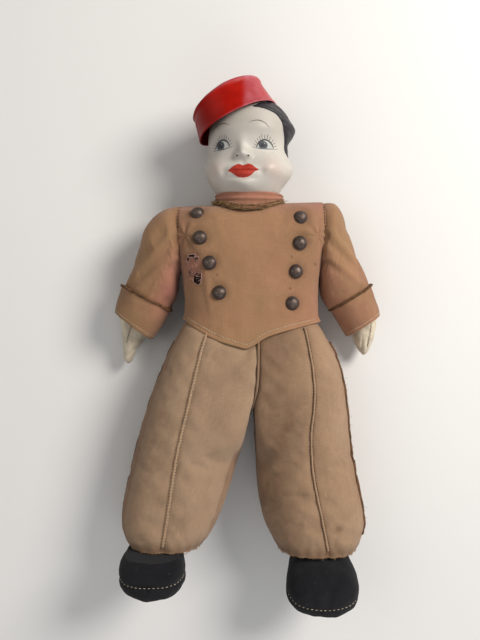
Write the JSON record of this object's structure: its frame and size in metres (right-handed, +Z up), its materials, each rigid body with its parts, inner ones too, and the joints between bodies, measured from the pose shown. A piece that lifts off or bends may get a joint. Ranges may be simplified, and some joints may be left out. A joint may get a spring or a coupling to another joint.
{
  "type": "cloth doll",
  "caption": "Stuffed cloth page-boy doll with a moulded head and pillbox hat, lying on its back: head, arms, legs and shoes move.",
  "frame": {"origin": "the point of the tunic's back that the doll rests on, under the middle of the chest", "axes": "+Z up out of the chest, the way the face looks; +Y from the waist to the head; +X towards the doll's left"},
  "size_m": [0.2018, 0.383, 0.0691],
  "materials": {
    "tan_cotton": "faded plain-weave cotton",
    "trouser_cotton": "faded plain-weave cotton",
    "calico": "unbleached stuffed cotton",
    "cream_cotton": "soiled cream cotton",
    "gold_braid": "tarnished metal thread over cotton",
    "brown_thread": "sewn seam",
    "painted_composition": "painted composition, slightly crazed",
    "red_enamel": "glossy red paint over composition",
    "aged_brass": "tarnished and worn",
    "black_felt": "napped black cotton felt"
  },
  "bodies": {
    "torso": {"torso_stuffing": "calico", "tunic_front": "tan_cotton", "tunic_back": "tan_cotton", "trouser_seat": "trouser_cotton", "tunic_button_right_1": "aged_brass", "tunic_button_right_2": "aged_brass", "tunic_button_right_3": "aged_brass", "tunic_button_right_4": "aged_brass", "tunic_button_left_1": "aged_brass", "tunic_button_left_2": "aged_brass", "tunic_button_left_3": "aged_brass", "tunic_button_left_4": "aged_brass"},
    "neck": {"neck_stump": "calico", "stand_collar": "tan_cotton", "collar_braid": "gold_braid"},
    "head": {"head_shell": "painted_composition", "pillbox_hat": "red_enamel"},
    "right_shoulder": {"right_armhole_seam": "brown_thread"},
    "right_arm": {"right_sleeve": "tan_cotton", "right_cuff": "tan_cotton", "right_cuff_braid": "gold_braid", "right_arm_and_hand": "cream_cotton"},
    "left_shoulder": {"left_armhole_seam": "brown_thread"},
    "left_arm": {"left_sleeve": "tan_cotton", "left_cuff": "tan_cotton", "left_cuff_braid": "gold_braid", "left_arm_and_hand": "cream_cotton"},
    "right_leg": {"right_trouser_leg": "trouser_cotton", "right_front_pleat": "trouser_cotton", "right_side_braid": "gold_braid"},
    "right_foot": {"right_shoe_upper": "black_felt", "right_shoe_sole": "black_felt"},
    "left_leg": {"left_trouser_leg": "trouser_cotton", "left_front_pleat": "trouser_cotton", "left_side_braid": "gold_braid"},
    "left_foot": {"left_shoe_upper": "black_felt", "left_shoe_sole": "black_felt"}
  },
  "joints": [
    {"name": "neck_nod", "type": "hinge", "parent": "torso", "child": "neck", "pos_m": [0, 0.05, 0.0285], "axis": [-1, 0, 0], "range_deg": [-10, 10]},
    {"name": "head_turn", "type": "hinge", "parent": "neck", "child": "head", "pos_m": [0, 0.06, 0.0285], "axis": [0, 1, 0], "range_deg": [-45, 45]},
    {"name": "right_shoulder_swing", "type": "hinge", "parent": "torso", "child": "right_shoulder", "pos_m": [-0.062, 0.033, 0.027], "axis": [-1, 0, 0], "range_deg": [-30, 110]},
    {"name": "right_arm_spread", "type": "hinge", "parent": "right_shoulder", "child": "right_arm", "pos_m": [-0.062, 0.033, 0.027], "axis": [0, 0, -1], "range_deg": [0, 80]},
    {"name": "left_shoulder_swing", "type": "hinge", "parent": "torso", "child": "left_shoulder", "pos_m": [0.062, 0.033, 0.027], "axis": [-1, 0, 0], "range_deg": [-30, 110]},
    {"name": "left_arm_spread", "type": "hinge", "parent": "left_shoulder", "child": "left_arm", "pos_m": [0.062, 0.033, 0.027], "axis": [0, 0, 1], "range_deg": [0, 80]},
    {"name": "right_hip_raise", "type": "hinge", "parent": "torso", "child": "right_leg", "pos_m": [-0.03, -0.0525, 0.0592], "axis": [-1, 0, 0], "range_deg": [0, 90]},
    {"name": "right_ankle_flex", "type": "hinge", "parent": "right_leg", "child": "right_foot", "pos_m": [-0.069, -0.1945, 0.029], "axis": [-1, 0, 0], "range_deg": [-8, 10]},
    {"name": "left_hip_raise", "type": "hinge", "parent": "torso", "child": "left_leg", "pos_m": [0.034, -0.0525, 0.0592], "axis": [-1, 0, 0], "range_deg": [0, 90]},
    {"name": "left_ankle_flex", "type": "hinge", "parent": "left_leg", "child": "left_foot", "pos_m": [0.051, -0.1995, 0.029], "axis": [-1, 0, 0], "range_deg": [-8, 10]}
  ]
}
